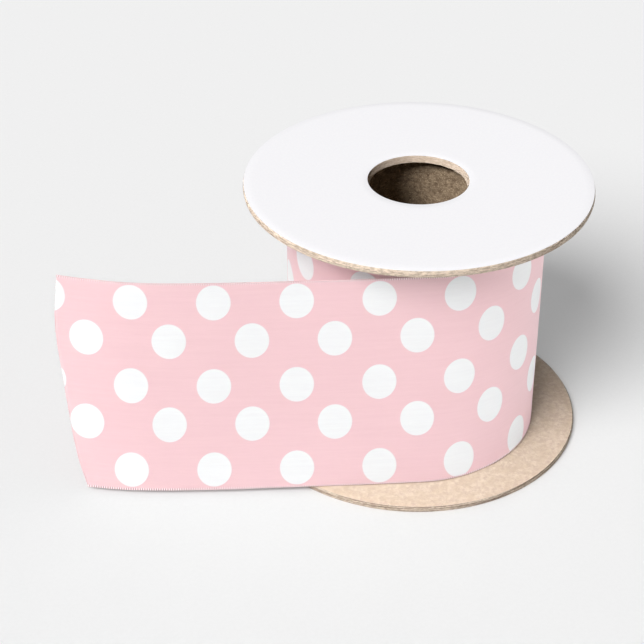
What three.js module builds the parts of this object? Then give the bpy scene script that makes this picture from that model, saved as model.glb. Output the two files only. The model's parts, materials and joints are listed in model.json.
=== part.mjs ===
// Spool of wide satin ribbon, standing on its lower flange, with the loose end unrolled to the left.
// Millimetres, +Z up. The origin lies on the surface, under the middle of the whole outline.
import * as THREE from "three";

// Spool body
const FLANGE_RADIUS = 54;
const BOARD_THICKNESS = 1.9;
const BOARD_EDGE_ROUNDING = 0.25;
const SPINDLE_HOLE_RADIUS = 15.5;
const FLANGE_GAP = 83.6;
const FACE_PAPER_THICKNESS = 0.3;
const PAPER_EDGE_ROUNDING = 0.08;
const CORE_INNER_RADIUS = 17.4;
const CORE_WALL = 1.9;

// Ribbon
const RIBBON_WIDTH = 76.2;
const SHEET_THICKNESS = 1;
const ROLL_RADIUS = 40.6;
const SLACK = 0.85;
const SLACK_DIRECTION = THREE.MathUtils.degToRad(-123.5);

// Fit between neighbouring pieces
const CLEARANCE = 0.3;

// The loose end, a row for each station along it. along is measured from the line where it leaves the
// roll. foot and head are how far its lower and upper edges stand out past that line, negative where
// they curl back.
const LOOSE_END_COURSE = [
  { along: 0, foot: 0, head: 0 },
  { along: 14, foot: 0.45, head: 0.45 },
  { along: 34, foot: 0.7, head: 0.75 },
  { along: 55, foot: 0.75, head: 0.8 },
  { along: 72, foot: 0.65, head: 0.65 },
  { along: 86, foot: 0.15, head: -0.3 },
  { along: 98, foot: -1.25, head: -2.6 },
  { along: 112, foot: -4.1, head: -6.7 },
];

// The cut end, a row for each height above the ribbon's lower edge. reach is measured along the ribbon.
const CUT_LINE = [
  { height: 0, reach: 105.4 },
  { height: 8, reach: 107.3 },
  { height: 20, reach: 108.9 },
  { height: 40, reach: 110.2 },
  { height: 57, reach: 111.1 },
  { height: 68, reach: 110.3 },
  { height: 76.2, reach: 109.1 },
];

// Fineness of the round and bent shapes
const ROUND_STEPS = 96;
const SPIRAL_STEPS = 120;
const LENGTH_STEPS = 44;
const WIDTH_STEPS = 12;
const CURVE_STEPS = 100;

// Colours
const KRAFT = { color: 0xdcc3a5, roughness: 0.9, metalness: 0 };
const WHITE_PAPER = { color: 0xf6f5f8, roughness: 0.6, metalness: 0 };
const PINK_SATIN = { color: 0xf8d2d7, roughness: 0.35, metalness: 0 };

const FRONT = -Math.PI / 2;
const FULL_TURN = 2 * Math.PI;

function piece(name, geometry, finish, height) {
  const mesh = new THREE.Mesh(geometry, new THREE.MeshStandardMaterial(finish));
  mesh.name = name;
  mesh.position.z = height;
  return mesh;
}

// A ring about +Z, standing on z = 0, with its four edges rounded off.
function ring(innerRadius, outerRadius, height, rounding) {
  const section = [
    new THREE.Vector2(innerRadius + rounding, 0),
    new THREE.Vector2(outerRadius - rounding, 0),
    new THREE.Vector2(outerRadius, rounding),
    new THREE.Vector2(outerRadius, height - rounding),
    new THREE.Vector2(outerRadius - rounding, height),
    new THREE.Vector2(innerRadius + rounding, height),
    new THREE.Vector2(innerRadius, height - rounding),
    new THREE.Vector2(innerRadius, rounding),
    new THREE.Vector2(innerRadius + rounding, 0),
  ];
  const geometry = new THREE.LatheGeometry(section, ROUND_STEPS);
  geometry.rotateX(Math.PI / 2);
  return geometry;
}

// How far the wound ribbon stands from the axis: the outer turns are a little slack towards one side.
function woundRadius(angle) {
  return ROLL_RADIUS + SLACK * Math.cos(angle - SLACK_DIRECTION);
}

// The wound ribbon: its outer turn climbs by one layer all the way round, and ends in a step at the
// line where the loose end leaves.
function rollGeometry() {
  const layer = SHEET_THICKNESS + CLEARANCE;
  const outline = new THREE.Shape();
  for (let i = 0; i <= SPIRAL_STEPS; i++) {
    const turn = i / SPIRAL_STEPS;
    const angle = FRONT + turn * FULL_TURN;
    const radius = woundRadius(angle) - turn * layer;
    const x = radius * Math.cos(angle);
    const y = radius * Math.sin(angle);
    if (i === 0) outline.moveTo(x, y);
    else outline.lineTo(x, y);
  }
  outline.closePath();
  const bore = new THREE.Path();
  bore.absarc(0, 0, CORE_INNER_RADIUS + CORE_WALL + CLEARANCE, 0, FULL_TURN, true);
  outline.holes.push(bore);
  return new THREE.ExtrudeGeometry(outline, {
    depth: RIBBON_WIDTH,
    bevelEnabled: false,
    curveSegments: ROUND_STEPS / 2,
  });
}

// A smooth curve through one column of a table, read at any value of the table's key column.
function columnCurve(rows, key, column) {
  const curve = new THREE.SplineCurve(rows.map((row) => new THREE.Vector2(row[key], row[column])));
  const samples = curve.getPoints(CURVE_STEPS);
  return (value) => {
    const found = samples.findIndex((point) => point.x >= value);
    const next = found < 0 ? CURVE_STEPS : Math.max(found, 1);
    const before = samples[next - 1];
    const after = samples[next];
    const share = (value - before.x) / (after.x - before.x);
    return THREE.MathUtils.lerp(before.y, after.y, share);
  };
}

// The loose end: a flat strip bent along its course, with a slanting, slightly bowed cut.
function looseEndGeometry() {
  const footCurve = columnCurve(LOOSE_END_COURSE, "along", "foot");
  const headCurve = columnCurve(LOOSE_END_COURSE, "along", "head");
  const cutCurve = columnCurve(CUT_LINE, "height", "reach");
  const strip = new THREE.BoxGeometry(1, SHEET_THICKNESS, RIBBON_WIDTH, LENGTH_STEPS, 1, WIDTH_STEPS);
  const place = strip.getAttribute("position");
  const front = woundRadius(FRONT);
  for (let i = 0; i < place.count; i++) {
    const height = place.getZ(i) + RIBBON_WIDTH / 2;
    const depth = SHEET_THICKNESS / 2 + place.getY(i);
    const share = 0.5 - place.getX(i);
    const along = THREE.MathUtils.lerp(CLEARANCE, cutCurve(height), share);
    const out = THREE.MathUtils.lerp(footCurve(along), headCurve(along), height / RIBBON_WIDTH);
    place.setXYZ(i, -along, depth - front - out, height);
  }
  strip.computeVertexNormals();
  return strip;
}

const spool = new THREE.Group();

const lowerBoardTop = BOARD_THICKNESS;
const upperBoardFoot = lowerBoardTop + FLANGE_GAP;
const paperFoot = upperBoardFoot + BOARD_THICKNESS + CLEARANCE;
const coreLength = FLANGE_GAP - 2 * CLEARANCE;
const ribbonFoot = lowerBoardTop + CLEARANCE;

const board = () => ring(SPINDLE_HOLE_RADIUS, FLANGE_RADIUS, BOARD_THICKNESS, BOARD_EDGE_ROUNDING);
const facePaper = ring(SPINDLE_HOLE_RADIUS, FLANGE_RADIUS, FACE_PAPER_THICKNESS, PAPER_EDGE_ROUNDING);
const core = ring(CORE_INNER_RADIUS, CORE_INNER_RADIUS + CORE_WALL, coreLength, BOARD_EDGE_ROUNDING);

spool.add(
  piece("bottom_flange", board(), KRAFT, 0),
  piece("top_flange", board(), KRAFT, upperBoardFoot),
  piece("top_face_paper", facePaper, WHITE_PAPER, paperFoot),
  piece("core_tube", core, KRAFT, lowerBoardTop + CLEARANCE),
  piece("ribbon_roll", rollGeometry(), PINK_SATIN, ribbonFoot),
  piece("ribbon_tail", looseEndGeometry(), PINK_SATIN, ribbonFoot),
);

// The whole is set over the middle of its outline, so the spool's axis lies to the right of the origin.
const outlineBox = new THREE.Box3().setFromObject(spool, true);
spool.position.x = -(outlineBox.min.x + outlineBox.max.x) / 2;
spool.position.y = -(outlineBox.min.y + outlineBox.max.y) / 2;

const part = new THREE.Group();
part.add(spool);

export default part;
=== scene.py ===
"""Spool of wide satin ribbon with a polka-dot print, standing with its loose end unrolled.

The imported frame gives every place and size. Meshes are in metres, and the tables in millimetres.
"""

import functools
import json
import math

import bpy
import numpy as np
from mathutils import Matrix, Vector, noise

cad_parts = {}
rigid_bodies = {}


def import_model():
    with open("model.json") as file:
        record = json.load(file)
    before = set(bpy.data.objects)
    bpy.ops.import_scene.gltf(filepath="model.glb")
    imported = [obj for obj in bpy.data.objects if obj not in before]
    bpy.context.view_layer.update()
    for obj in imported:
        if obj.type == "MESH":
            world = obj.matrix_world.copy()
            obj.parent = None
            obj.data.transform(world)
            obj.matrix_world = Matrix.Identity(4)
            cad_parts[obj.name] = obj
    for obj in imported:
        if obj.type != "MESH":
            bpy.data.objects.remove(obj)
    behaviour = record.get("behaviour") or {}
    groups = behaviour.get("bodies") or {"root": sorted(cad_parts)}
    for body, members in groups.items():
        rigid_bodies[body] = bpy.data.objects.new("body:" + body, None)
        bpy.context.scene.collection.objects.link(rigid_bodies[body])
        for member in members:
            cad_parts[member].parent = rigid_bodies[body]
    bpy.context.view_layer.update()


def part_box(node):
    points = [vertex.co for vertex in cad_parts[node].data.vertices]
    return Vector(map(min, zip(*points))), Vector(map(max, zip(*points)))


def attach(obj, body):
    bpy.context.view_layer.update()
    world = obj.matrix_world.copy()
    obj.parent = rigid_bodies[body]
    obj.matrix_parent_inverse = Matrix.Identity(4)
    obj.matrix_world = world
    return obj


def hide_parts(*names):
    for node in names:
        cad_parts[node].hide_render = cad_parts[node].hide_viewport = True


bl_info = {
    "name": "Spool of satin ribbon",
    "version": (1, 0, 0),
    "blender": (4, 5, 0),
    "location": "3D View > Sidebar > Ribbon spool",
    "description": "Makes a board spool of dotted satin ribbon with its loose end, on a pale stage",
    "category": "Object",
}

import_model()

MM = 0.001
FULL_TURN = 2 * math.pi
QUARTER_TURN = math.pi / 2
# The direction of the roll's front, as an angle round the spool's axis.
FRONT = -QUARTER_TURN

LOWER_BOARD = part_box("bottom_flange")
UPPER_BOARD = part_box("top_flange")
CORE_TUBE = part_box("core_tube")
WOUND_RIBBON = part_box("ribbon_roll")

AXIS_X = (LOWER_BOARD[0].x + LOWER_BOARD[1].x) / 2
AXIS_Y = (LOWER_BOARD[0].y + LOWER_BOARD[1].y) / 2
BOARD_RADIUS = (LOWER_BOARD[1].x - LOWER_BOARD[0].x) / 2
CORE_RADIUS = (CORE_TUBE[1].x - CORE_TUBE[0].x) / 2
# The ribbon has settled onto the lower board, and so closes most of the gap that the frame leaves.
RIBBON_FOOT = WOUND_RIBBON[0].z - 0.25 * MM
RIBBON_WIDTH = WOUND_RIBBON[1].z - WOUND_RIBBON[0].z
# The upper board is thicker by the gap that the frame leaves under the paper glued on it.
GLUE_GAP = 0.25 * MM

# The wound ribbon's outline, as the frame has it: a circle about the axis, slack to one side.
ROLL_RADIUS = 40.6 * MM
SLACK = 0.85 * MM
SLACK_DIRECTION = math.radians(-123.5)

# How far the loose end's foot and head stand out from the roll's front, by distance along it.
LOOSE_END_COURSE = (
    ("along", "foot", "head"),
    (0, 0.0, 0.0),
    (14, 0.45, 0.45),
    (34, 0.70, 0.75),
    (55, 0.75, 0.80),
    (72, 0.65, 0.65),
    (86, 0.15, -0.30),
    (98, -1.25, -2.60),
    (112, -4.10, -6.70),
)

# The slanting cut: how far the ribbon reaches, by height above its foot.
CUT_LINE = (
    ("height", "reach"),
    (0, 105.4),
    (8, 107.3),
    (20, 108.9),
    (40, 110.2),
    (57, 111.1),
    (68, 110.3),
    (76.2, 109.1),
)

# How much of that the cloth gives up to the frayed threads, and how uneven the scissors left it.
CUT_TRIM = 0.3
SNIP_DEPTH, SNIP_LENGTH = 0.12, 3.1

# Soft hollows and swells in the loose end: middle, half-widths, turn of the long side, and depth.
SWELLS = (
    ("along", "height", "across", "down", "turn", "depth"),
    (84, 46, 6.0, 24.0, -25, -0.45),
    (60, 60, 10.0, 22.0, 12, 0.16),
    (30, 22, 12.0, 20.0, -8, 0.12),
    (100, 18, 5.0, 20.0, -14, 0.22),
)

# The ribbon's foot stands out at the roll's front: how far, how high up, and how far round.
FLARE_DEPTH, FLARE_HEIGHT, FLARE_LENGTH = 0.62, 16, 22
# The loose end's foot sags past the flange: how far, from where on, and over what length.
SAG_DEPTH, SAG_START, SAG_LENGTH = 0.35, 36, 24
# How far the cloth's edges stay inside the ribbon's width, which leaves room for the selvedges.
SELVEDGE_ROOM = 0.26

# The print: a row of dots for each height above the ribbon's foot, where its first dot falls, and
# how tall its dots are.
DOT_ROWS = (
    ("height", "first", "tall"),
    (69.25, 10.95, 12.1),
    (55.7, 22.4, 12.4),
    (39.35, 10.8, 12.8),
    (25.0, 22.3, 13.1),
    (7.6, 10.7, 13.4),
)

# How far the print has crept onwards, and down, at each distance round the roll from its front.
PRINT_ONWARD = (("round", "creep"), (0, 0), (12, 0), (26, 0.65), (70, 0.65), (150, -1.65))
PRINT_DOWN = (
    ("round", "creep"),
    (0, 0),
    (20, 0),
    (33, 0.55),
    (47, 2.0),
    (62, 3.2),
    (95, 3.2),
    (190, 0),
)
# How far it has crept at the foot alone, how high up, from where on, and over what length: up on
# the loose end, and down on the roll.
LOOSE_CREEP = {"depth": 0.33, "height": 16, "start": 14, "length": 22}
WOUND_CREEP = {"depth": 1.35, "height": 12, "start": 0, "length": 30}
# How much the print fans out from one point, and between which distances along the ribbon.
FAN, FAN_HEIGHT, FAN_PLACE, FAN_LIMITS = 0.0009, 39.4, -35, (-120, 50)

# The satin's thread pitch, and the length of the floats between its weft steps.
THREAD_PITCH = 0.13 * MM
FLOAT_LENGTH = 0.62 * MM

# The light that the satin and the kraft throw onto their neighbours is grey, not tinted.
SATIN_THROWS = (0.5, 0.5, 0.5)
KRAFT_THROWS = (0.72, 0.7, 0.68)

CAMERA_PLACE = (-0.01965, -0.4609, 0.3393)
CAMERA_FORWARD = (0.0332, 0.8348, -0.5495)
CAMERA_RIGHT = (0.9992, -0.0407, -0.0015)

# The lights: strength, degrees to the left of the front, degrees above the horizon, degrees that
# each one looks wide, and the pieces that it reaches, by how their names start.
CLOTH = ("ribbon_", "selvedge_", "frayed_")
FLOOR_AND_PAPER = ("studio_", "face_paper")
LIGHTS = (
    ("window", 2.78, 36, 44.7, 34, (*CLOTH, *FLOOR_AND_PAPER, "flange_")),
    ("right", 1.24, -95, 2.5, 6, CLOTH),
    ("left", 0.5, 90, 2.5, 6, CLOTH),
    ("ceiling", 1.07, 0, 90, 178, FLOOR_AND_PAPER),
    ("board", 1.9, 76, 42, 84, ("flange_",)),
    ("cloth", 0.97, 0, 90, 178, CLOTH),
    ("core", 4.6, 58, 44.7, 24, ("core_",)),
)


def srgb(red, green, blue):
    """A colour given as it looks on a screen, 0 to 255, as Blender's linear one."""
    parts = [c / 255 for c in (red, green, blue)]
    return [c / 12.92 if c <= 0.04045 else ((c + 0.055) / 1.055) ** 2.4 for c in parts]


def column(table, name):
    """One named column of a table as numbers."""
    place = table[0].index(name)
    return np.array([row[place] for row in table[1:]], float)


def smooth_through(keys, values):
    """A smooth curve through the values, as a function that takes an array."""
    n = len(keys)
    step = np.diff(keys)
    slope = np.diff(values) / step
    system, right = np.eye(n), np.zeros(n)
    for i in range(1, n - 1):
        system[i, i - 1 : i + 2] = step[i - 1], 2 * (step[i - 1] + step[i]), step[i]
        right[i] = 6 * (slope[i] - slope[i - 1])
    bend = np.linalg.solve(system, right)

    def curve(at):
        i = np.clip(np.searchsorted(keys, at) - 1, 0, n - 2)
        h = step[i]
        a = (keys[i + 1] - at) / h
        b = (at - keys[i]) / h
        cubic = ((a**3 - a) * bend[i] + (b**3 - b) * bend[i + 1]) * h * h / 6
        return a * values[i] + b * values[i + 1] + cubic

    return curve


def ramp(value, start, length):
    """From 0 to 1 as the value goes on from start by length."""
    return np.clip((value - start) / length, 0, 1)


def bell(value, width):
    """From 1 at zero down to nothing, over a few widths to either side."""
    return np.exp(-((value / width) ** 2))


def grain(points, size, seed):
    """Smooth noise from -1 to 1 at each point, with features of that size."""
    shift = Vector((seed * 17.3, seed * 5.1, seed * 9.7))
    values = [noise.noise(Vector(p) / size + shift) for p in points.reshape(-1, 3)]
    return np.reshape(values, points.shape[:-1])


# Meshes


def round_axis(radius, angle, height):
    """Points at a radius, an angle and a height about the spool's axis."""
    return np.stack([radius * np.cos(angle), radius * np.sin(angle), height], axis=-1)


def linked(name, data):
    """A new object in the scene."""
    made = bpy.data.objects.new(name, data)
    bpy.context.scene.collection.objects.link(made)
    return made


def dressed(made, node=None):
    """Smooth shades a piece that rides on the spool and replaces a node."""
    made.data.polygons.foreach_set("use_smooth", np.ones(len(made.data.polygons), bool))
    made.data.update()
    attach(made, "root")
    if node:
        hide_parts(node)
    return made


def new_piece(name, node, slot, points, faces, finishes, face_finish=None, uv=None):
    """A mesh piece with one finish or several, in place of a node of the frame."""
    mesh = bpy.data.meshes.new(name)
    mesh.from_pydata([tuple(p) for p in points], [], [tuple(int(i) for i in f) for f in faces])
    for each in finishes:
        mesh.materials.append(each)
    if face_finish is not None:
        mesh.polygons.foreach_set("material_index", np.asarray(face_finish, np.int32))
    if uv is not None:
        corner = np.zeros(len(mesh.loops), np.int32)
        mesh.loops.foreach_get("vertex_index", corner)
        layer = mesh.uv_layers.new(name="cloth")
        layer.data.foreach_set("uv", np.asarray(uv, np.float32)[corner].ravel())
    return dressed(linked(name, mesh), node)


def grid_faces(rows, columns, closed=False, first=0):
    """Quads over a grid of points numbered row by row, open or closed both ways."""
    r = np.arange(rows if closed else rows - 1)
    c = np.arange(columns if closed else columns - 1)
    r, c = [a.ravel() for a in np.meshgrid(r, c, indexing="ij")]
    down, right = (r + 1) % rows, (c + 1) % columns
    corners = ((r, c), (r, right), (down, right), (down, c))
    return first + np.stack([row * columns + place for row, place in corners], axis=1)


def turned_shell(profile, steps, wear):
    """Points and outward quads of a closed profile (radius, height) turned about the axis."""
    profile = np.asarray(profile, float)
    angle = np.repeat(np.arange(steps)[:, None] * FULL_TURN / steps, len(profile), axis=1)
    radius, height = (np.tile(side, (steps, 1)) for side in profile.T)
    radius, height = wear(angle, radius, height)
    points = round_axis(radius, angle, height) + (AXIS_X, AXIS_Y, 0)
    following = np.roll(profile, -1, axis=0)
    area = (profile[:, 0] * following[:, 1] - following[:, 0] * profile[:, 1]).sum()
    faces = grid_faces(steps, len(profile), closed=True)
    return points.reshape(-1, 3), faces[:, ::-1] if area > 0 else faces


def rounded_board(inner, outer, foot, head, rounding, rim_rows, face_rows, taper=0.0):
    """The profile of a flat ring with soft edges, and for each of its spans whether it is cut.

    The hole narrows by taper towards the ring's foot."""
    corner_rows = 4
    points, cut = [], []
    corners = (
        (outer - rounding, foot + rounding, FRONT),
        (outer - rounding, head - rounding, 0.0),
        (inner + rounding, head - rounding, QUARTER_TURN),
        (inner - taper + rounding, foot + rounding, 2 * QUARTER_TURN),
    )

    def on_corner(corner, turned=0.0):
        radius, height, start = corner
        angle = start + turned
        return np.array([radius + rounding * math.cos(angle), height + rounding * math.sin(angle)])

    for index, corner in enumerate(corners):
        turns = [QUARTER_TURN * i / (corner_rows - 1) for i in range(corner_rows)]
        points += [on_corner(corner, turned) for turned in turns]
        rim = index % 2 == 0
        rows = rim_rows if rim else face_rows
        here, there = points[-1], on_corner(corners[(index + 1) % 4])
        points += [here + (there - here) * (i / rows) for i in range(1, rows)]
        cut += [True] * (corner_rows - 1) + [rim] * rows
    return np.array(points), np.array(cut)


# Node trees

# The kind of each tree's socket that isn't a plain number.
SOCKET_KINDS = {
    "Geometry": "Geometry",
    "Finish": "Material",
    "Steps": "Int",
    "Cloth": "Vector",
    "Place": "Vector",
}


class Wires:
    """Adds nodes to a node tree and joins them."""

    def __init__(self, tree):
        self.tree = tree

    def node(self, kind, *values, **named):
        """A new node. Named values with a capital are inputs, and the others are settings."""
        made = self.tree.nodes.new(kind)
        inputs = dict(enumerate(values))
        for name, value in named.items():
            if name[0].isupper():
                inputs[name.replace("_", " ")] = value
            else:
                setattr(made, name, value)
        for key, value in inputs.items():
            self.join(made.inputs[key], value)
        return made

    def join(self, socket, value):
        if isinstance(value, bpy.types.Node):
            value = value.outputs[0]
        if isinstance(value, bpy.types.NodeSocket):
            self.tree.links.new(value, socket)
        else:
            socket.default_value = (*value, 1)[:4] if socket.type == "RGBA" else value

    def place(self):
        return self.node("ShaderNodeTexCoord").outputs["Object"]

    def math(self, operation, *values):
        return self.node("ShaderNodeMath", *values, operation=operation).outputs[0]

    minus = functools.partialmethod(math, "SUBTRACT")
    times = functools.partialmethod(math, "MULTIPLY")
    over = functools.partialmethod(math, "DIVIDE")

    def mixed(self, first, share, second):
        """A share of the first value, and the rest of the second."""
        return self.math("MULTIPLY_ADD", first, share, self.times(second, 1 - share))

    def vector(self, operation, *values, **named):
        return self.node("ShaderNodeVectorMath", *values, operation=operation, **named).outputs[0]

    def split(self, vector):
        return self.node("ShaderNodeSeparateXYZ", vector).outputs[:3]

    def fade(self, value, start, end, low=0.0, high=1.0):
        """From low to high as the value goes from start to end."""
        made = self.node("ShaderNodeMapRange", value, start, end, low, high)
        made.interpolation_type = "SMOOTHSTEP"
        return made.outputs[0]

    def blend(self, share, first, second):
        made = self.node("ShaderNodeMix", share, data_type="RGBA", clamp_factor=True)
        self.join(made.inputs[6], first)
        self.join(made.inputs[7], second)
        return made.outputs[2]

    def laid(self, colour, mask, share, other):
        """The colour with a share of another one laid over it where the mask is."""
        return self.blend(self.times(mask, share), colour, other)

    def noise(self, vector, scale, detail=3.0, rough=0.55):
        named = {"Scale": scale, "Detail": detail, "Roughness": rough}
        return self.node("ShaderNodeTexNoise", vector, **named).outputs[0]


def node_tree(kind, name, inputs, outputs, fill):
    """A node tree with named sockets, filled by a function and made once."""
    made = bpy.data.node_groups.get(name)
    if made:
        return made
    made = bpy.data.node_groups.new(name, kind)
    for way, labels in (("INPUT", inputs), ("OUTPUT", outputs)):
        for label in labels:
            socket_type = "NodeSocket" + SOCKET_KINDS.get(label, "Float")
            made.interface.new_socket(label, in_out=way, socket_type=socket_type)
    wires = Wires(made)
    wires.node("NodeGroupOutput", *fill(wires, wires.node("NodeGroupInput").outputs))
    return made


def group(name, inputs, outputs):
    """Turns a function that fills a shader node group into one that places it in a material."""

    def wrap(fill):
        @functools.wraps(fill)
        def placed(wires, **values):
            tree = node_tree("ShaderNodeTree", name, inputs, outputs, fill)
            return wires.node("ShaderNodeGroup", node_tree=tree, **values).outputs

        return placed

    return wrap


def finish(name, relief, throws=None, **constants):
    """Turns a function that gives a surface's changing colour, height and roughness into one that
    gives its material. throws is the colour of the light that it throws onto its neighbours."""

    def wrap(fill):
        @functools.wraps(fill)
        def material(settings):
            made = bpy.data.materials.get(name)
            if made:
                return made
            made = bpy.data.materials.new(name)
            made.use_nodes = True
            made.node_tree.nodes.clear()
            wires = Wires(made.node_tree)
            shader = wires.node("ShaderNodeBsdfPrincipled", **constants)
            wires.node("ShaderNodeOutputMaterial", shader)
            colour, height, *rough = fill(wires, settings)
            if throws:
                thrown = wires.node("ShaderNodeLightPath").outputs["Is Diffuse Ray"]
                colour = wires.blend(thrown, colour, throws)
            wires.join(shader.inputs["Base Color"], colour)
            if rough:
                wires.join(shader.inputs["Roughness"], rough[0])
            bump = wires.node("ShaderNodeBump", Height=height, Strength=1.0, Distance=relief)
            wires.join(shader.inputs["Normal"], bump)
            return made

        return material

    return wrap


def shape_tree(name, *inputs):
    """Turns a function that gives a geometry into one that gives its node tree."""

    def wrap(fill):
        def ended(wires, given):
            shape = wires.node("GeometryNodeRealizeInstances", fill(wires, given))
            return [wires.node("GeometryNodeSetMaterial", shape, Material=given["Finish"])]

        sockets = ("Geometry", *inputs, "Finish"), ("Geometry",)
        return functools.partial(node_tree, "GeometryNodeTree", name, *sockets, ended)

    return wrap


def made_by(tree, name, material, line=(), node=None, **values):
    """A plain mesh piece that a geometry node tree makes, along a line of points or by itself."""
    mesh = bpy.data.meshes.new(name)
    mesh.from_pydata([tuple(p) for p in line], [(i, i + 1) for i in range(len(line) - 1)], [])
    mesh.materials.append(material)
    made = linked(name, mesh)
    modifier = made.modifiers.new("Shape", "NODES")
    modifier.node_group = tree
    values["Finish"] = material
    for socket in tree.interface.items_tree:
        label = socket.name.replace(" ", "_")
        if socket.in_out == "INPUT" and label in values:
            modifier[socket.identifier] = values[label]
    bpy.context.view_layer.update()
    depsgraph = bpy.context.evaluated_depsgraph_get()
    result = bpy.data.meshes.new_from_object(made.evaluated_get(depsgraph), depsgraph=depsgraph)
    made.modifiers.remove(modifier)
    made.data = result
    result.name = name
    if not result.polygons:
        raise RuntimeError(f"{name} came out empty")
    return dressed(made, node)


# Effects that the finishes share


@group("Paper fibres", ("Place", "Scale"), ("Mottle", "Pale hairs", "Dark hairs", "Relief"))
def paper_fibres(wires, given):
    """Paper fibres: a cloudy mottle, pale and dark hairs lying every way, and their relief."""
    stretch = 7.0
    place = wires.vector("SCALE", given["Place"], Scale=given["Scale"])
    mottle = wires.noise(place, 1.0, detail=6.0, rough=0.62)
    hairs = []
    for shift, angles in ((0.0, (0.3, 1.4, 2.5)), (7.9, (0.9, 2.0, 3.0))):
        found = 0.0
        for angle in angles:
            named = {"Angle": angle, "rotation_type": "Z_AXIS"}
            turned = wires.node("ShaderNodeVectorRotate", place, **named)
            drawn = wires.vector("MULTIPLY", turned, (1 / stretch, 1.0, 1.0))
            away = shift + angle
            drawn = wires.vector("ADD", drawn, (away, away * 0.37, away * 0.71))
            strand = wires.fade(wires.noise(drawn, 3.2, detail=1.0, rough=0.4), 0.62, 0.72)
            found = wires.math("MAXIMUM", found, strand)
        hairs.append(found)
    pale, dark = hairs
    return mottle, pale, dark, wires.math("MULTIPLY_ADD", pale, 0.5, mottle)


@group("Specks", ("Place", "Scale", "Size", "Share"), ("Speck",))
def dark_specks(wires, given):
    """Scattered specks, each of its own size, in a share of the cells of a random net."""
    net = wires.node("ShaderNodeTexVoronoi", given["Place"], Scale=given["Scale"]).outputs
    chance = wires.node("ShaderNodeSeparateColor", net["Color"]).outputs
    near = wires.math("LESS_THAN", net["Distance"], wires.times(chance[0], given["Size"]))
    there = wires.math("LESS_THAN", chance[1], given["Share"])
    return [wires.times(near, there)]


@group("Board plies", ("Place",), ("Streaks", "Hairs", "Relief"))
def board_plies(wires, given):
    """A cut board's layers: long streaks round the edge, and short rough hairs between them."""
    flat = wires.vector("MULTIPLY", given["Place"], (42.0, 42.0, 2600.0))
    streak = wires.noise(flat, 1.0)
    short = wires.vector("MULTIPLY", given["Place"], (700.0, 700.0, 2400.0))
    torn = wires.noise(short, 1.0, detail=4.0, rough=0.65)
    return streak, torn, wires.math("ADD", torn, streak)


@group("Satin weave", ("Cloth",), ("Relief", "Tone"))
def satin_weave(wires, given):
    """Satin: long floats that run along the ribbon, with their fine streaks and weft steps."""
    along, across, _ = wires.split(given["Cloth"])
    thread = wires.math("SINE", wires.times(across, FULL_TURN / THREAD_PITCH))
    fine = wires.vector("MULTIPLY", given["Cloth"], (260.0, 9000.0, 1.0))
    streak = wires.noise(fine, 1.0, detail=2.0, rough=0.5)
    broad = wires.vector("MULTIPLY", given["Cloth"], (40.0, 900.0, 1.0))
    slub = wires.noise(broad, 1.0, rough=0.6)
    row = wires.math("FLOOR", wires.times(across, 1 / THREAD_PITCH))
    step = wires.math("MULTIPLY_ADD", row, 0.375, wires.times(along, 1 / FLOAT_LENGTH))
    from_middle = wires.math("ABSOLUTE", wires.minus(wires.math("FRACT", step), 0.5))
    tuck = wires.times(wires.fade(from_middle, 0.36, 0.5), 0.3)
    height = wires.minus(wires.math("MULTIPLY_ADD", thread, 0.25, streak), tuck)
    return height, wires.mixed(streak, 0.5, slub)


@group("Polka dots", ("Cloth", "Spacing", "Half width"), ("Dot",))
def polka_dots(wires, given):
    """The print, laid out on the flat ribbon in rows that are each set off from the next."""
    along, across, _ = wires.split(given["Cloth"])
    ragged = wires.noise(wires.vector("SCALE", given["Cloth"], Scale=5200.0), 1.0, detail=2.0)
    found = 0.0
    for height, first, tall in DOT_ROWS[1:]:
        cell = wires.over(wires.minus(along, first * MM), given["Spacing"])
        cell = wires.minus(cell, wires.math("ROUND", cell))
        side = wires.over(wires.times(cell, given["Spacing"]), given["Half width"])
        rise = wires.over(wires.minus(across, height * MM), tall / 2 * MM)
        square = wires.math("MULTIPLY_ADD", side, side, wires.times(rise, rise))
        away = wires.math("MULTIPLY_ADD", ragged, 0.03, wires.math("SQRT", square))
        found = wires.math("MAXIMUM", found, wires.fade(away, 0.995, 1.035, 1.0, 0.0))
    return [found]


@group("Edge stitches", ("Cloth", "Place", "Spacing"), ("Stitch", "Gap"))
def edge_stitches(wires, given):
    """Pale stitches side by side along both edges of the ribbon, and the gaps between them, where
    painted shade is laid.
    """
    along, height = wires.split(given["Cloth"])[0], wires.split(given["Place"])[2]
    above = wires.minus(height, RIBBON_FOOT)
    below = wires.minus(RIBBON_FOOT + RIBBON_WIDTH, height)
    edge = wires.fade(wires.math("MINIMUM", above, below), 0.4 * MM, 1.1 * MM, 1.0, 0.0)
    cell = wires.math("FRACT", wires.over(along, given["Spacing"]))
    from_middle = wires.math("ABSOLUTE", wires.minus(cell, 0.5))
    stitch = wires.times(edge, wires.fade(from_middle, 0.16, 0.3, 1.0, 0.0))
    return stitch, wires.minus(edge, stitch)


# Finishes


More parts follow.
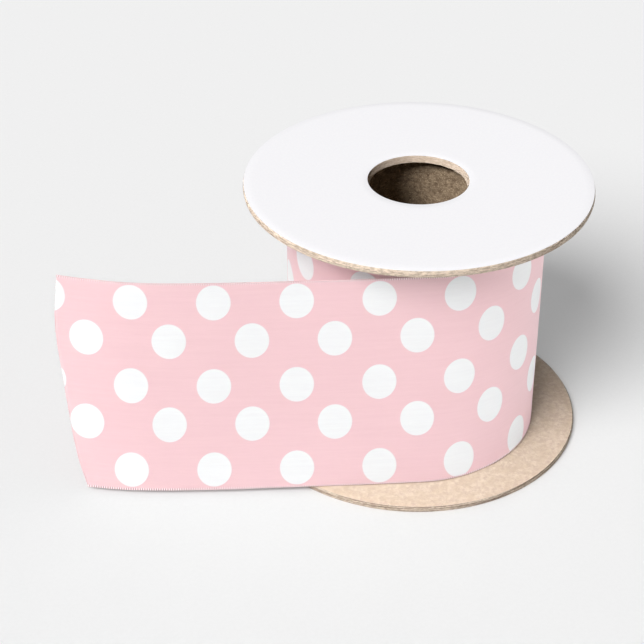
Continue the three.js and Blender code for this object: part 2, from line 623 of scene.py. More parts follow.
@finish("Kraft liner", 0.03 * MM, KRAFT_THROWS, Roughness=0.86, Specular_IOR_Level=0.3)
def kraft_face(wires, board):
    """The brown paper liner on the board's flat sides."""
    place = wires.place()
    fibre = paper_fibres(wires, Place=place, Scale=1050.0)
    speck = dark_specks(wires, Place=place, Scale=420.0, Size=0.24, Share=0.05)
    cloud = wires.noise(place, 330.0, detail=5.0, rough=0.65)
    tone = wires.mixed(wires.noise(place, 760.0, detail=2.0), 0.7, fibre["Mottle"])
    colour = wires.blend(wires.fade(tone, 0.34, 0.66), board.kraft_deep, board.kraft)
    colour = wires.blend(wires.fade(cloud, 0.38, 0.62, 0.0, 0.55), colour, board.kraft_warm)
    colour = wires.laid(colour, fibre["Pale hairs"], 0.2, srgb(250, 236, 216))
    colour = wires.laid(colour, fibre["Dark hairs"], 0.16, srgb(176, 148, 122))
    return wires.laid(colour, speck["Speck"], 0.55, srgb(122, 98, 78)), fibre["Relief"]


def cut_layers(wires, hairs, start, end, deep, pale):
    """A cut edge's colour and height, by a share of the plies' hairs and the rest of streaks."""
    ply = board_plies(wires, Place=wires.place())
    tone = wires.fade(wires.mixed(ply["Hairs"], hairs, ply["Streaks"]), start, end)
    return wires.blend(tone, deep, pale), ply["Relief"]


@finish("Board cut edge", 0.08 * MM, Roughness=0.93, Specular_IOR_Level=0.2)
def kraft_cut(wires, board):
    """The upper board's cut edge: even, with fine flecks."""
    return cut_layers(wires, 0.7, 0.38, 0.62, board.cut_deep, board.cut)


@finish("Board layered edge", 0.15 * MM, Roughness=0.93, Specular_IOR_Level=0.2)
def split_cut(wires, board):
    """The lower board's cut edge, where long layers show between torn fibres."""
    return cut_layers(wires, 0.35, 0.42, 0.63, board.layer_deep, board.cut)


@finish("Board punched edge", 0.07 * MM, Roughness=0.9, Specular_IOR_Level=0.25)
def punched_edge_painted_light(wires, board):
    """The cleaner edge that the punch left round the spindle hole, in paler colours that are
    painted light.
    """
    return cut_layers(wires, 1.0, 0.3, 0.7, board.punched_deep, board.punched)


@finish("White paper", 0.008 * MM, Roughness=0.55, Specular_IOR_Level=0.4)
def white_paper(wires, board):
    """The smooth white paper glued over the upper flange."""
    fibre = paper_fibres(wires, Place=wires.place(), Scale=1300.0)
    colour = wires.blend(wires.fade(fibre["Mottle"], 0.3, 0.7), board.paper_deep, board.paper)
    return colour, fibre["Relief"], wires.fade(fibre["Mottle"], 0.3, 0.7, 0.5, 0.6)


@finish("Core board", 0.05 * MM, Roughness=0.92, Specular_IOR_Level=0.2)
def core_board(wires, board):
    """The speckled grey-brown board of the wound tube."""
    place = wires.place()
    fibre = paper_fibres(wires, Place=place, Scale=700.0)
    speck = dark_specks(wires, Place=place, Scale=500.0, Size=0.34, Share=0.22)
    colour = wires.blend(wires.fade(fibre["Mottle"], 0.3, 0.7), board.core_deep, board.core)
    colour = wires.laid(colour, fibre["Pale hairs"], 0.4, srgb(206, 184, 154))
    colour = wires.laid(colour, fibre["Dark hairs"], 0.4, srgb(84, 66, 50))
    return wires.laid(colour, speck["Speck"], 0.5, srgb(78, 60, 46)), fibre["Relief"]


def printed_cloth(wires, ribbon):
    """The ribbon's cloth map, and the print and the weave on it."""
    cloth = wires.node("ShaderNodeUVMap", uv_map="cloth").outputs[0]
    half = ribbon.dot_width / 2
    dots = polka_dots(wires, Cloth=cloth, Spacing=ribbon.dot_spacing, Half_width=half)
    return cloth, dots["Dot"], satin_weave(wires, Cloth=cloth)


@finish(
    "Dotted satin", 0.012 * MM, SATIN_THROWS,
    Roughness=0.42, Specular_IOR_Level=0.35, Sheen_Weight=0.12, Sheen_Roughness=0.4,
)
def dotted_satin(wires, ribbon):
    """The printed face of the ribbon."""
    cloth, dot, weave = printed_cloth(wires, ribbon)
    tone = wires.fade(weave["Tone"], 0.3, 0.7)
    pink = wires.blend(tone, ribbon.pink_deep, ribbon.pink)
    colour = wires.blend(dot, pink, wires.blend(tone, ribbon.white_deep, ribbon.white))
    edge = edge_stitches(wires, Cloth=cloth, Place=wires.place(), Spacing=ribbon.loop_spacing)
    colour = wires.blend(edge["Stitch"], colour, ribbon.selvedge)
    # Painted shade: the gaps between the stitches are darkened, standing in for the shadow between
    # the selvedge loops.
    colour = wires.blend(edge["Gap"], colour, ribbon.selvedge_gap_painted_shade)
    height = wires.math("MULTIPLY_ADD", edge["Stitch"], 3.0, weave["Relief"])
    return colour, height, wires.fade(tone, 0.0, 1.0, 0.40, 0.46)


@finish("Satin back", 0.02 * MM, Roughness=0.7, Specular_IOR_Level=0.25, Sheen_Weight=0.15)
def satin_back(wires, ribbon):
    """The dull, unprinted back of the ribbon, with the dots faint through it."""
    _, dot, weave = printed_cloth(wires, ribbon)
    colour = wires.blend(wires.fade(weave["Tone"], 0.3, 0.7), ribbon.pink_deep, ribbon.pink)
    return wires.laid(colour, dot, 0.25, ribbon.white_deep), weave["Relief"]


@finish("Ribbon thread", 0.02 * MM, Roughness=0.6, Specular_IOR_Level=0.3, Sheen_Weight=0.1)
def ribbon_thread(wires, ribbon):
    """The twisted thread of the selvedges, the turns' edges and the frayed ends."""
    place = wires.place()
    fine = wires.noise(place, 4200.0, detail=2.0)
    tone = wires.mixed(fine, 0.6, wires.noise(place, 260.0, detail=2.0))
    return wires.blend(wires.fade(tone, 0.35, 0.65), ribbon.pink_deep, ribbon.pink), fine


@finish("Studio floor", 0.01 * MM, Roughness=0.9, Specular_IOR_Level=0.1)
def floor_paint(wires, stage):
    """A plain pale floor with a very fine tooth."""
    tooth = wires.noise(wires.place(), 900.0)
    deep = [c * 0.985 for c in stage.floor_colour]
    return wires.blend(wires.fade(tooth, 0.3, 0.7), deep, stage.floor_colour), tooth


# Shapes that follow a rule


@shape_tree(
    "Wound turns", "Steps", "Turns", "Inner radius", "Outer radius", "Slack",
    "Thickness", "Width", "Middle height", "Unevenness",
)
def wound_tree(wires, given):
    """The hidden turns: a spiral that opens out from the core, each turn at its own height."""
    spiral = wires.node(
        "GeometryNodeCurveSpiral", Resolution=given["Steps"], Rotations=given["Turns"],
        Start_Radius=given["Inner radius"], End_Radius=given["Outer radius"],
        Height=0.0, Reverse=True,
    )
    place = wires.node("GeometryNodeInputPosition")
    x, y, _ = wires.split(place)
    radius = wires.node("ShaderNodeVectorMath", place, operation="LENGTH").outputs["Value"]
    turned = wires.times(wires.over(wires.node("GeometryNodeInputIndex"), given["Steps"]), 0.83)
    direction = wires.over(x, radius), wires.over(y, radius)
    at = wires.node("ShaderNodeCombineXYZ", turned, *direction)
    rise = wires.times(wires.minus(wires.noise(at, 0.9, detail=2.0), 0.5), given["Unevenness"])
    out = wires.minus(radius, given["Inner radius"])
    share = wires.over(out, wires.minus(given["Outer radius"], given["Inner radius"]))
    slack = wires.times(given["Slack"], share)
    aside = [wires.times(slack, way(SLACK_DIRECTION)) for way in (math.cos, math.sin)]
    shift = wires.node("ShaderNodeCombineXYZ", *aside, rise)
    moved = wires.node("GeometryNodeSetPosition", spiral, Offset=shift)
    upright = wires.node("GeometryNodeSetCurveNormal", moved, mode="Z_UP")
    sizes = {"Width": given["Thickness"], "Height": given["Width"]}
    strip = wires.node("GeometryNodeCurvePrimitiveQuadrilateral", **sizes)
    wound = wires.node("GeometryNodeCurveToMesh", upright, strip, Fill_Caps=True)
    axis = wires.node("ShaderNodeCombineXYZ", AXIS_X, AXIS_Y, given["Middle height"])
    return wires.node("GeometryNodeTransform", wound, Translation=axis)


def random_vector(wires, low, high, seed):
    """A random vector for each instance, with a fixed seed."""
    named = {"Min": low, "Max": high, "Seed": seed, "data_type": "FLOAT_VECTOR"}
    return wires.node("FunctionNodeRandomValue", **named)


def scattered(wires, points, instance, size, **turned):
    """Copies of a piece on points, each in its own size: the least, the most and a seed."""
    scale = random_vector(wires, *size)
    named = {"Instance": instance, "Scale": scale, **turned}
    return wires.node("GeometryNodeInstanceOnPoints", points, **named)


@shape_tree("Selvedge loops", "Spacing", "Loop radius", "Thread radius")
def selvedge_tree(wires, given):
    """Tiny loops of thread side by side along an edge of the ribbon."""
    line = wires.node("GeometryNodeMeshToCurve", given["Geometry"])
    named = {"Length": given["Spacing"], "mode": "LENGTH"}
    even = wires.node("GeometryNodeResampleCurve", line, **named)
    ring, thread = (
        wires.node("GeometryNodeCurvePrimitiveCircle", Resolution=steps, Radius=given[radius])
        for steps, radius in ((8, "Loop radius"), (4, "Thread radius"))
    )
    loop = wires.node("GeometryNodeCurveToMesh", ring, thread)
    tangent = wires.node("GeometryNodeInputTangent")
    stand = wires.node("FunctionNodeAlignRotationToVector", Vector=tangent, axis="X")
    named = {"Rotate_By": (QUARTER_TURN, 0.0, 0.0), "rotation_space": "LOCAL"}
    stand = wires.node("FunctionNodeRotateRotation", stand, **named)
    return scattered(wires, even, loop, ((0.75, 1.15, 0.9), (0.95, 1.4, 1.1), 4), Rotation=stand)


@shape_tree("Frayed threads", "Spacing", "Thread radius", "Thread length")
def fray_tree(wires, given):
    """Short cut threads that stick out of the ribbon's end at random."""
    line = wires.node("GeometryNodeMeshToCurve", given["Geometry"])
    named = {"Length": given["Spacing"], "mode": "LENGTH"}
    points = wires.node("GeometryNodeCurveToPoints", line, **named)
    tip = wires.times(given["Thread radius"], 0.5)
    thread = wires.node(
        "GeometryNodeMeshCone", Vertices=5, Side_Segments=2, Radius_Top=tip,
        Radius_Bottom=given["Thread radius"], Depth=given["Thread length"],
    )
    turned = random_vector(wires, (-0.25, -1.95, -0.3), (0.25, -1.2, 0.3), 11)
    return scattered(wires, points, thread, ((0.7, 0.7, 0.3), (1.2, 1.2, 1.0), 12), Rotation=turned)


# The spool's board pieces


def board_wear(seed, depth, bulge):
    """Small dents and raised fibres: most on a board's cut edges, hardly any on its flat sides."""
    edge_reach, dent_size, warp_size = 0.35 * MM, 1.1 * MM, 30 * MM
    warp, give = 0.03 * MM, 0.02 * MM

    def wear(angle, radius, height):
        spots = round_axis(radius, angle, height * 6)
        dents = grain(spots, dent_size, seed) - 1
        waves = grain(spots * (1, 1, 0), warp_size, seed + 1)
        inwards, outwards = radius - radius.min(), radius.max() - radius
        outer = outwards < inwards
        edge = 1 - ramp(np.minimum(inwards, outwards), 0, edge_reach)
        level = height - height.mean()
        belly = np.clip(1 - (level / np.ptp(height) * 2) ** 2, 0, 1)
        radius = radius + np.where(outer, 1.0, -1.0) * edge * dents * depth
        radius = radius + np.where(outer, edge * bulge * belly, 0)
        return radius, height + (1 - edge) * (warp * waves - give * np.sign(level))

    return wear


def make_flanges(board):
    """Both flanges: rings of brown board with cut edges, soft corners and layers that show."""
    steps = 400
    for name, node, (low, high), rim, glue, seed in (
        ("flange_lower", "bottom_flange", LOWER_BOARD, split_cut, 0.0, 3.0),
        ("flange_upper", "top_flange", UPPER_BOARD, kraft_cut, GLUE_GAP, 4.0),
    ):
        profile, cut = rounded_board(
            board.hole_radius + 0.15 * MM, BOARD_RADIUS, low.z, high.z + glue,
            board.edge_rounding, rim_rows=9, face_rows=10, taper=board.hole_taper,
        )
        finishes = [kraft_face(board), rim(board), punched_edge_painted_light(board)]
        which = cut * np.where(profile[:, 0] < BOARD_RADIUS / 2, 2, 1)
        wear = board_wear(seed, board.edge_wear, board.edge_bulge)
        points, faces = turned_shell(profile, steps, wear)
        new_piece(name, node, "kraft_board", points, faces, finishes, np.tile(which, steps))


def make_face_paper(board):
    """The white paper ring glued on the upper flange, its edges pressed down a little."""
    press_reach, press_depth = 0.9 * MM, 0.04 * MM
    foot = UPPER_BOARD[1].z + GLUE_GAP - 0.01 * MM
    profile, _ = rounded_board(
        board.hole_radius + 0.24 * MM, BOARD_RADIUS - 0.05 * MM, foot,
        foot + board.paper_thickness, 0.05 * MM, rim_rows=2, face_rows=14,
    )

    def settle(angle, radius, height):
        edge = np.minimum(radius.max() - radius, radius - radius.min())
        press = (1 - ramp(edge, 0, press_reach)) ** 2 * press_depth
        return radius, height - np.where(height > foot + 0.5 * board.paper_thickness, press, 0)

    shell = turned_shell(profile, 360, settle)
    new_piece("face_paper", "top_face_paper", "white_paper", *shell, [white_paper(board)])


def make_core(board):
    """The wound board tube, with the helical joint of its inner layer."""
    steps, inner_rows, outer_rows = 200, 190, 24
    lead, joint_width, joint_depth = 62 * MM, 0.45 * MM, 0.14 * MM
    tooth_size, tooth_depth = 2.5 * MM, 0.02 * MM
    foot, head = LOWER_BOARD[1].z - 0.02 * MM, UPPER_BOARD[0].z + 0.02 * MM
    bore = CORE_RADIUS - board.core_wall
    down, up = np.arange(inner_rows + 1) / inner_rows, np.arange(outer_rows + 1) / outer_rows
    inside = [(bore, head + (foot - head) * share) for share in down]
    outside = [(CORE_RADIUS, foot + (head - foot) * share) for share in up]

    def joint(angle, radius, height):
        along = height / lead - angle / FULL_TURN
        groove = bell((along - np.round(along)) * lead, joint_width) * joint_depth
        tooth = grain(round_axis(radius, angle, height), tooth_size, 8.0) * tooth_depth
        return radius + np.where(radius < (bore + CORE_RADIUS) / 2, groove + tooth, 0), height

    shell = turned_shell(inside + outside, steps, joint)
    new_piece("core_tube_wound", "core_tube", "core_board", *shell, [core_board(board)])


# The ribbon


def wound_radius(angle):
    """How far the outermost turn's face stands from the axis."""
    return ROLL_RADIUS + SLACK * np.cos(angle - SLACK_DIRECTION)


def swell(along, height):
    """How far the loose end's soft hollows and swells push its face out, in millimetres."""
    out = np.zeros_like(along)
    for middle, level, across, down, turned, depth in SWELLS[1:]:
        c, s = math.cos(math.radians(turned)), math.sin(math.radians(turned))
        side = (along - middle) * c + (height - level) * s
        rise = (height - level) * c - (along - middle) * s
        out += depth * bell(side, across) * bell(rise, down)
    return out


def foot_flare(onward, height):
    """How far the foot stands out at the roll's front and along the loose end."""
    share = 1 - ramp(onward, 0, FLARE_LENGTH)
    return FLARE_DEPTH * bell(height, FLARE_HEIGHT) * share * share * (3 - 2 * share)


def foot_creep(onward, height, creep):
    """How far the print has crept at the foot alone."""
    share = ramp(onward, creep["start"], creep["length"])
    return creep["depth"] * bell(height, creep["height"]) * share


def cloth_heights():
    """Heights across the ribbon in millimetres, closer together at its two edges."""
    near = SELVEDGE_ROOM + np.array([0, 0.18, 0.4, 0.7, 1.1, 1.7, 2.6])
    width = RIBBON_WIDTH / MM
    middle = np.linspace(near[-1], width - near[-1], 34)[1:-1]
    return np.concatenate([near, middle, width - near[::-1]])


def loose_part(heights):
    """The loose end's outer face, from its cut to the roll's front, and its cloth map."""
    rows, ease_length = 150, 18
    course = column(LOOSE_END_COURSE, "along")
    foot, head = (smooth_through(course, column(LOOSE_END_COURSE, k)) for k in ("foot", "head"))
    reach = smooth_through(column(CUT_LINE, "height"), column(CUT_LINE, "reach"))(heights)
    snips = grain(heights[:, None] / SNIP_LENGTH * (1, 0, 0), 1.0, 2.0) * SNIP_DEPTH
    along = np.linspace(1, 0, rows)[:-1, None] * (reach - CUT_TRIM + snips)
    level = np.broadcast_to(heights, along.shape)
    part = level / (RIBBON_WIDTH / MM)
    out = foot(along) * (1 - part) + head(along) * part + foot_flare(0 * along, level)
    out = out + swell(along, level) * ramp(along, 0, ease_length)
    sag = SAG_DEPTH * ramp(along, SAG_START, SAG_LENGTH) * (1 - part) ** 4
    face = np.stack([-along, -wound_radius(FRONT) / MM - out, level - sag], axis=-1)
    lift = sag + foot_creep(along, level, LOOSE_CREEP)
    return face, np.stack([-along, level - lift], axis=-1)


def wound_part(heights, layer):
    """The outermost turn's outer face, to just past one whole turn, and its cloth map."""
    rows, whole, ease_share = 330, 1.06, 0.04
    wave_size, wave_depth = 24, 0.07
    turns = np.linspace(0, whole, rows)[:, None]
    angle = FRONT + turns * FULL_TURN + 0 * heights
    level = np.broadcast_to(heights, angle.shape)
    ease = ramp(turns, 0, ease_share) * ramp(1 - turns, 0, ease_share)
    waves = grain(round_axis(40, angle, level), wave_size, 5.0) * wave_depth * ease
    radius = wound_radius(angle) / MM - turns * layer / MM + waves
    radius = radius + foot_flare(turns * FULL_TURN * ROLL_RADIUS / MM, level)
    face = round_axis(radius, angle, level)
    steps = np.linalg.norm(np.diff(face[:, 0], axis=0), axis=1)
    length = np.concatenate([[0], np.cumsum(steps)])[:, None]
    onward, down = (
        np.interp(length, column(table, "round"), column(table, "creep"))
        for table in (PRINT_ONWARD, PRINT_DOWN)
    )
    down = down + foot_creep(length, level, WOUND_CREEP)
    return face, np.stack([length + onward + 0 * level, level + down], axis=-1)


def ribbon_face(ribbon):
    """The ribbon's outer face from its cut end to its hidden start, and its cloth map."""
    heights = cloth_heights()
    parts = loose_part(heights), wound_part(heights, ribbon.layer)
    face, cloth = (np.concatenate(pair) for pair in zip(*parts))
    spread = np.clip(cloth[..., 0], *FAN_LIMITS) - FAN_PLACE
    cloth[..., 0] += (cloth[..., 1] - FAN_HEIGHT) * spread * FAN
    return face * MM + (AXIS_X, AXIS_Y, RIBBON_FOOT), cloth * MM


def outward(points):
    """Unit normals of a grid of points whose rows follow the ribbon and whose columns go up it."""
    normal = np.cross(np.gradient(points, axis=0), np.gradient(points, axis=1))
    return normal / np.linalg.norm(normal, axis=-1, keepdims=True)


def make_cloth(ribbon, face, cloth, normal):
    """The outermost turn and the loose end as one thin cloth, printed outside, plain inside."""
    hem_share, hem_reach = 0.35, 0.8 * MM
    rows, columns = face.shape[:2]
    count = rows * columns
    level = (face[..., 2] - RIBBON_FOOT) / RIBBON_WIDTH
    edge = np.minimum(level, 1 - level) * RIBBON_WIDTH
    thickness = ribbon.thickness * (1 + hem_share * (1 - ramp(edge, 0, hem_reach)))
    back = face - normal * thickness[..., None]
    points = np.concatenate([face.reshape(-1, 3), back.reshape(-1, 3)])
    front_faces = grid_faces(rows, columns)[:, ::-1]
    back_faces = grid_faces(rows, columns, first=count)
    ids = np.arange(count).reshape(rows, columns)
    rim = np.concatenate([ids[0, :], ids[1:, -1], ids[-1, -2::-1], ids[-2:0:-1, 0]])
    ahead = np.roll(rim, -1)
    rim_faces = np.stack([rim, ahead, ahead + count, rim + count], axis=1)
    faces = np.concatenate([front_faces, back_faces, rim_faces])
    which = np.arange(len(faces)) >= len(front_faces)
    finishes = [dotted_satin(ribbon), satin_back(ribbon)]
    uv = np.concatenate([cloth.reshape(-1, 2)] * 2)
    names = "ribbon_outer_turn", "ribbon_tail", "dotted_satin"
    sheet = new_piece(*names, points, faces, finishes, which, uv)
    probe = sheet.data.polygons[len(front_faces) // 3]
    if probe.normal.dot(Vector(normal.reshape(-1, 3)[probe.vertices[0]])) < 0:
        raise RuntimeError("the ribbon's faces point inwards")
    return sheet


def make_trims(ribbon, face, normal):
    """The looped selvedges along both edges, and the loose threads at the cut end."""
    middle = face - normal * ribbon.thickness / 2
    thread = ribbon_thread(ribbon)
    trims = [
        made_by(
            selvedge_tree(), name, thread, middle[:, place],
            Spacing=ribbon.loop_spacing, Loop_radius=0.09 * MM, Thread_radius=0.045 * MM,
        )
        for name, place in (("selvedge_lower", 0), ("selvedge_upper", -1))
    ]
    frayed = made_by(
        fray_tree(), "frayed_threads", thread, middle[0] + (0.05 * MM, 0, 0),
        Spacing=0.9 * MM, Thread_radius=0.05 * MM, Thread_length=0.55 * MM,
    )
    return [*trims, frayed]


def make_outer_ribbon(ribbon):
    """The outermost turn with the loose end, and its trims."""
    face, cloth = ribbon_face(ribbon)
    normal = outward(face)
    sheet = make_cloth(ribbon, face, cloth, normal)
    make_trims(ribbon, face, normal)


def make_wound_turns(ribbon):
    """All the turns inside the outermost one, as one fine spiral from the core outwards."""
    inner = CORE_RADIUS + ribbon.thickness
    outer = ROLL_RADIUS - 1.12 * ribbon.layer - ribbon.thickness / 2
    made_by(
        wound_tree(), "ribbon_wound_turns", ribbon_thread(ribbon), node="ribbon_roll",
        Steps=72, Turns=round((outer - inner) / ribbon.layer),
        Inner_radius=inner, Outer_radius=outer, Slack=SLACK,
        Thickness=ribbon.thickness, Width=RIBBON_WIDTH - 0.5 * MM,
        Middle_height=RIBBON_FOOT + RIBBON_WIDTH / 2, Unevenness=ribbon.unevenness,
    )


# The stage


def make_floor(stage):
    """The plain pale floor."""
    half = 3.0
    corners = [(-half, -half, 0), (half, -half, 0), (half, half, 0), (-half, half, 0)]
    mesh = bpy.data.meshes.new("studio_floor")
    mesh.from_pydata(corners, [], [(0, 1, 2, 3)])
    mesh.materials.append(floor_paint(stage))
    linked("studio_floor", mesh)


def make_lights(stage):
    """The soft lights, each of which reaches its own pieces."""
    for name, *_, reaches in LIGHTS:
        energy, side, rise, softness = (getattr(stage, f"{name}_{part}") for part in LIGHT_PARTS)
        level = math.cos(rise)
        towards = Vector((-math.sin(side) * level, -math.cos(side) * level, math.sin(rise)))
        lamp = bpy.data.lights.new(name + "_light", "SUN")
        lamp.energy, lamp.angle = energy, softness
        light = linked(name + "_light", lamp)
        light.rotation_mode = "QUATERNION"
        light.rotation_quaternion = towards.to_track_quat("Z", "Y")
        light.location = towards
        lit = bpy.data.collections.new(name + "_light_reaches")
        for each in bpy.data.objects:
            if each.name.startswith(reaches):
                lit.objects.link(each)
        light.light_linking.receiver_collection = lit


def make_room(stage):
    """The even light from all round, and the pale wall that the camera sees behind the floor."""
    world = bpy.data.worlds.new("studio")
    world.use_nodes = True
    world.node_tree.nodes.clear()
    wires = Wires(world.node_tree)
    sky = wires.node("ShaderNodeBackground", (0.985, 0.99, 1.0), stage.sky_strength)
    wall = wires.node("ShaderNodeBackground", stage.floor_colour, 1.0)
    seen = wires.node("ShaderNodeLightPath").outputs["Is Camera Ray"]
    room = wires.node("ShaderNodeMixShader", seen, sky, wall)
    wires.node("ShaderNodeOutputWorld", room)
    bpy.context.scene.world = world
    bpy.context.scene.view_settings.view_transform = "Standard"


def make_camera(stage):
    """The camera at the photograph's angle."""
    lens = bpy.data.cameras.new("camera")
    lens.sensor_width = 36
    lens.lens = stage.focal_length / MM
    lens.clip_start, lens.clip_end = 0.01, 20
    camera = linked("camera", lens)
    back = -Vector(CAMERA_FORWARD).normalized()
    up = back.cross(Vector(CAMERA_RIGHT)).normalized()
    facing = Matrix((up.cross(back), up, back)).transposed()
    camera.matrix_world = Matrix.Translation(CAMERA_PLACE) @ facing.to_4x4()
    bpy.context.scene.camera = camera


# Settings, operators and panel


def length(name, default, description, low=0.0):
    return bpy.props.FloatProperty(
        name=name, default=default, description=description, min=low, max=1.0,
        subtype="DISTANCE", unit="LENGTH", precision=5,
    )


def colour(name, shade, description):
    return bpy.props.FloatVectorProperty(
        name=name, default=srgb(*shade), description=description,
        size=3, min=0, max=1, subtype="COLOR",
    )


def strength(name, default, description):
    return bpy.props.FloatProperty(name=name, default=default, description=description, min=0.0)


def turn(name, degrees, description):
    return bpy.props.FloatProperty(
        name=name, default=math.radians(degrees), description=description,
        subtype="ANGLE", unit="ROTATION",
    )


class RIBBONSPOOL_PG_board(bpy.types.PropertyGroup):
    hole_radius: length("Spindle hole radius", 15.5 * MM, "Radius of the hole in both flanges")
    hole_taper: length("Hole taper", 0.55 * MM, "How much narrower the hole is at its foot")
    edge_rounding: length("Edge rounding", 0.12 * MM, "How far the corners are rounded off")
    edge_wear: length("Edge wear", 0.04 * MM, "How rough the board's cut edges are")
    edge_bulge: length("Edge bulge", 0.2 * MM, "How far the outer cut edges swell out")
    paper_thickness: length("Paper thickness", 0.15 * MM, "Thickness of the white paper")
    core_wall: length("Core wall", 1.9 * MM, "Wall of the core tube")
    kraft: colour("Kraft", (239, 219, 199), "The board's flat sides")
    kraft_deep: colour("Kraft shade", (219, 194, 174), "Their darker clouds")
    kraft_warm: colour("Kraft tint", (221, 197, 171), "Their warmer clouds")
    cut: colour("Cut edge", (226, 209, 190), "The paler parts of the boards' cut edges")
    cut_deep: colour("Cut edge shade", (166, 148, 131), "The upper board's flecks")
    layer_deep: colour("Layer shade", (136, 117, 102), "The lower board's dark layers")
    # The hole's edge colours are paler than the other cut edges': painted light.
    punched: colour("Punched edge", (219, 202, 185), "The paler layers of the hole's edge")
    punched_deep: colour("Punched edge shade", (191, 170, 149), "Its darker layers")
    paper: colour("White paper", (250, 249, 251), "The paper on the upper flange")
    paper_deep: colour("White paper shade", (247, 246, 249), "The paper's fine mottle")
    core: colour("Core", (146, 127, 104), "The core tube's board")
    core_deep: colour("Core shade", (108, 90, 72), "The darker clouds in the core tube")


class RIBBONSPOOL_PG_ribbon(bpy.types.PropertyGroup):
    thickness: length("Cloth thickness", 0.22 * MM, "Thickness of the satin")
    layer: length("Layer", 0.3 * MM, "How far each turn of the roll stands from the next")
    unevenness: length("Unevenness", 0.5 * MM, "How far the turns rise and sink")
    dot_spacing: length("Dot spacing", 25 * MM, "Distance between the dots of a row")
    dot_width: length("Dot width", 10.4 * MM, "Size of a dot along the ribbon")
    loop_spacing: length("Selvedge loops", 0.7 * MM, "Distance between the loops", 0.2 * MM)
    pink: colour("Pink", (238, 200, 204), "The satin's ground")
    pink_deep: colour("Pink shade", (234, 195, 199), "The satin's darker streaks")
    selvedge: colour("Selvedge", (253, 240, 241), "The stitches along the ribbon's edges")
    # Painted shade for the gaps between the stitches.
    selvedge_gap_painted_shade: colour("Selvedge shade", (206, 160, 166), "The gaps between the stitches")
    white: colour("Dots", (239, 240, 240), "The printed dots")
    white_deep: colour("Dots shade", (235, 235, 236), "The dots' darker streaks")


class RIBBONSPOOL_PG_stage(bpy.types.PropertyGroup):
    focal_length: length("Focal length", 95.08 * MM, "The camera's lens on a 36 mm sensor", 0.01)
    floor_colour: colour("Floor", (240, 240, 240), "The floor and the wall")
    sky_strength: strength("Room light", 0.05, "Strength of the even light from all round")


# What can be set for each light, in the order of its row.
LIGHT_PARTS = {
    "strength": (strength, "How strong the {} light is"),
    "side": (turn, "How far to the left of the front the {} light stands"),
    "height": (turn, "How high above the horizon the {} light stands"),
    "softness": (turn, "How wide the {} light looks from the spool"),
}


def light_settings():
    """The stage's settings for all the lights."""
    made = {}
    for light, *values, _ in LIGHTS:
        for (part, (kind, says)), value in zip(LIGHT_PARTS.items(), values):
            label = f"{light.capitalize()} light's {part}"
            made[f"{light}_{part}"] = kind(label, value, says.format(light))
    return made


RIBBONSPOOL_PG_stage.__annotations__.update(light_settings())


class RIBBONSPOOL_OT_flanges(bpy.types.Operator):
    """Makes both brown board flanges"""

    bl_idname = "ribbon_spool.flanges"
    bl_label = "Flanges"

    def execute(self, context):
        make_flanges(context.scene.ribbon_spool_board)
        return {"FINISHED"}


class RIBBONSPOOL_OT_face_paper(bpy.types.Operator):
    """Makes the white paper on the upper flange"""

    bl_idname = "ribbon_spool.face_paper"
    bl_label = "Face paper"

    def execute(self, context):
        make_face_paper(context.scene.ribbon_spool_board)
        return {"FINISHED"}


class RIBBONSPOOL_OT_core(bpy.types.Operator):
    """Makes the core tube"""

    bl_idname = "ribbon_spool.core"
    bl_label = "Core tube"

    def execute(self, context):
        make_core(context.scene.ribbon_spool_board)
        return {"FINISHED"}


class RIBBONSPOOL_OT_wound_turns(bpy.types.Operator):
    """Makes the wound turns of ribbon inside the outermost one"""

    bl_idname = "ribbon_spool.wound_turns"
    bl_label = "Wound turns"

    def execute(self, context):
        make_wound_turns(context.scene.ribbon_spool_ribbon)
        return {"FINISHED"}


class RIBBONSPOOL_OT_outer_ribbon(bpy.types.Operator):
    """Makes the outermost turn and the loose end, with their selvedges and cut threads"""

    bl_idname = "ribbon_spool.outer_ribbon"
    bl_label = "Outer turn and loose end"

    def execute(self, context):
        make_outer_ribbon(context.scene.ribbon_spool_ribbon)
        return {"FINISHED"}


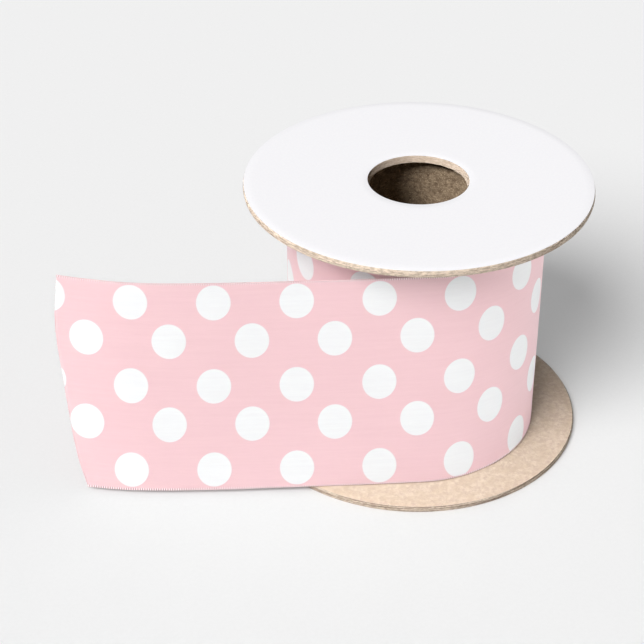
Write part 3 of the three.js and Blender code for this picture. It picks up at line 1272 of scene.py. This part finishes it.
class RIBBONSPOOL_OT_stage(bpy.types.Operator):
    """Makes the floor, the soft lights, the room and the camera"""

    bl_idname = "ribbon_spool.stage"
    bl_label = "Stage"

    def execute(self, context):
        for make in (make_floor, make_lights, make_room, make_camera):
            make(context.scene.ribbon_spool_stage)
        return {"FINISHED"}


class RIBBONSPOOL_PT_panel(bpy.types.Panel):
    """Lists the spool's pieces and their settings"""

    bl_label = "Ribbon spool"
    bl_idname = "RIBBONSPOOL_PT_panel"
    bl_space_type = "VIEW_3D"
    bl_region_type = "UI"
    bl_category = "Ribbon spool"

    def draw(self, context):
        for holder, _, operators in PANEL_ROWS:
            settings = getattr(context.scene, holder)
            box = self.layout.box()
            for operator in operators:
                box.operator(operator.bl_idname)
            for name in settings.__annotations__:
                box.prop(settings, name)


# The lights find the pieces by name, so the stage comes last.
PANEL_ROWS = (
    (
        "ribbon_spool_board",
        RIBBONSPOOL_PG_board,
        (RIBBONSPOOL_OT_flanges, RIBBONSPOOL_OT_face_paper, RIBBONSPOOL_OT_core),
    ),
    (
        "ribbon_spool_ribbon",
        RIBBONSPOOL_PG_ribbon,
        (RIBBONSPOOL_OT_wound_turns, RIBBONSPOOL_OT_outer_ribbon),
    ),
    ("ribbon_spool_stage", RIBBONSPOOL_PG_stage, (RIBBONSPOOL_OT_stage,)),
)
OPERATORS = [operator for _, _, operators in PANEL_ROWS for operator in operators]
CLASSES = [settings for _, settings, _ in PANEL_ROWS] + OPERATORS + [RIBBONSPOOL_PT_panel]


def register():
    for each in CLASSES:
        bpy.utils.register_class(each)
    for holder, settings, _ in PANEL_ROWS:
        setattr(bpy.types.Scene, holder, bpy.props.PointerProperty(type=settings))


def unregister():
    for holder, _, _ in PANEL_ROWS:
        delattr(bpy.types.Scene, holder)
    for each in reversed(CLASSES):
        bpy.utils.unregister_class(each)


def main():
    register()
    for operator in OPERATORS:
        space, name = operator.bl_idname.split(".")
        getattr(getattr(bpy.ops, space), name)()


if __name__ == "__main__":
    main()
